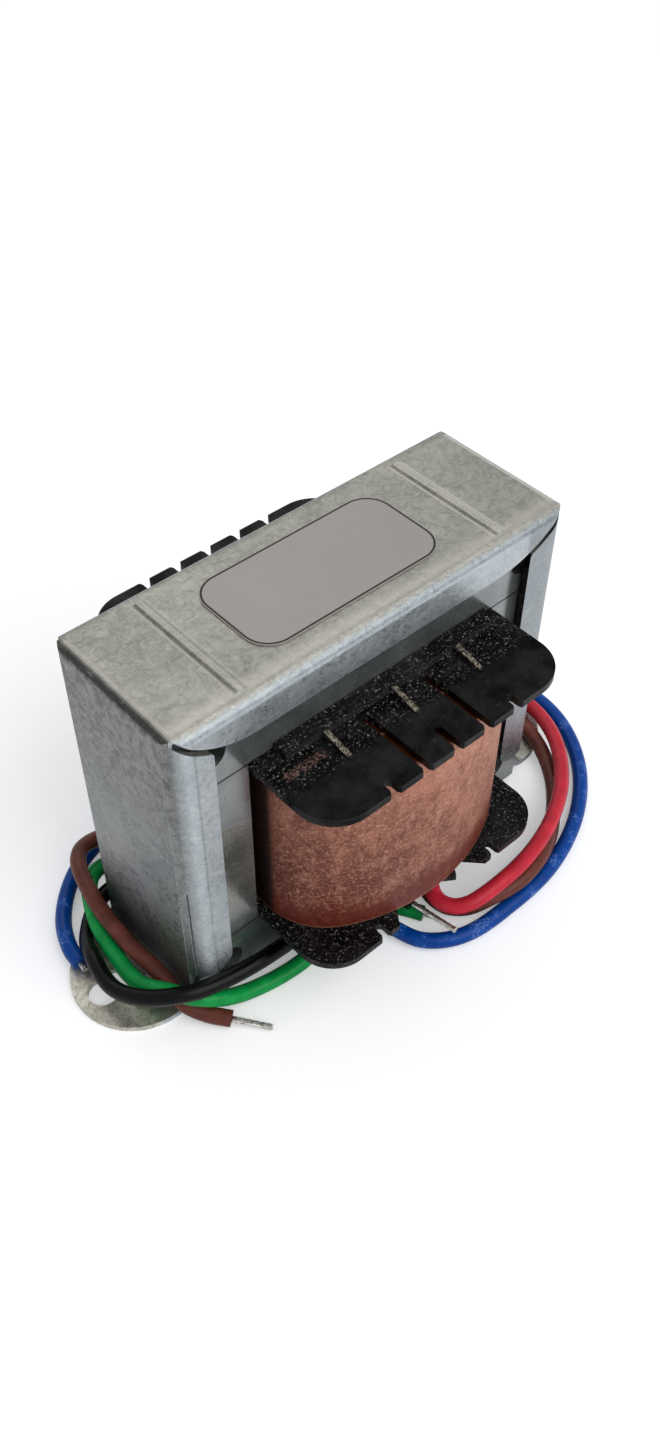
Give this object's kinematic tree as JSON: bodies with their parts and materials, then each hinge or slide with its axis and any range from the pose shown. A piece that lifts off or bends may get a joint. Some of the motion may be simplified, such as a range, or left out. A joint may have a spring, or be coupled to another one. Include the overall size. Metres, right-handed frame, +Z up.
{
  "type": "laminated chassis transformer",
  "caption": "Laminated transformer in a folded steel channel frame with slotted feet, a taped coil on a black twin-flange bobbin, and tinned flying leads.",
  "frame": {"origin": "on the mounting surface, under the middle of the frame", "axes": "+X along the frame through both feet, -Y towards the face where the red, brown and blue leads leave, +Z up through the top of the frame"},
  "size_m": [0.0965, 0.0563, 0.058],
  "materials": {
    "galvanised_steel": "dull spangled zinc, scratched",
    "label_film": "satin, bare",
    "silicon_steel": "semi-gloss, light soiling",
    "black_nylon": "gloss, finely pitted",
    "enamelled_copper": "lacquered",
    "barrier_paper": "matte",
    "copper_tape": "mottled, satin",
    "pvc_red": "gloss",
    "pvc_brown": "gloss",
    "pvc_blue": "gloss, scuffed",
    "pvc_green": "gloss",
    "pvc_black": "gloss",
    "tinned_copper": "bright, twisted"
  },
  "bodies": {
    "root": {"channel_frame": "galvanised_steel", "label_plate": "label_film", "e_laminations_upright": "silicon_steel", "i_laminations_top": "silicon_steel", "e_laminations_inverted": "silicon_steel", "i_laminations_bottom": "silicon_steel", "bobbin": "black_nylon", "primary_winding": "enamelled_copper", "winding_insulation": "barrier_paper", "secondary_winding": "enamelled_copper", "outer_tape": "copper_tape", "lead_red": "pvc_red", "lead_brown": "pvc_brown", "lead_blue": "pvc_blue", "lead_green": "pvc_green", "lead_black": "pvc_black", "tip_red": "tinned_copper", "tip_brown": "tinned_copper", "tip_blue": "tinned_copper", "tip_green": "tinned_copper", "tip_black": "tinned_copper"}
  },
  "joints": []
}
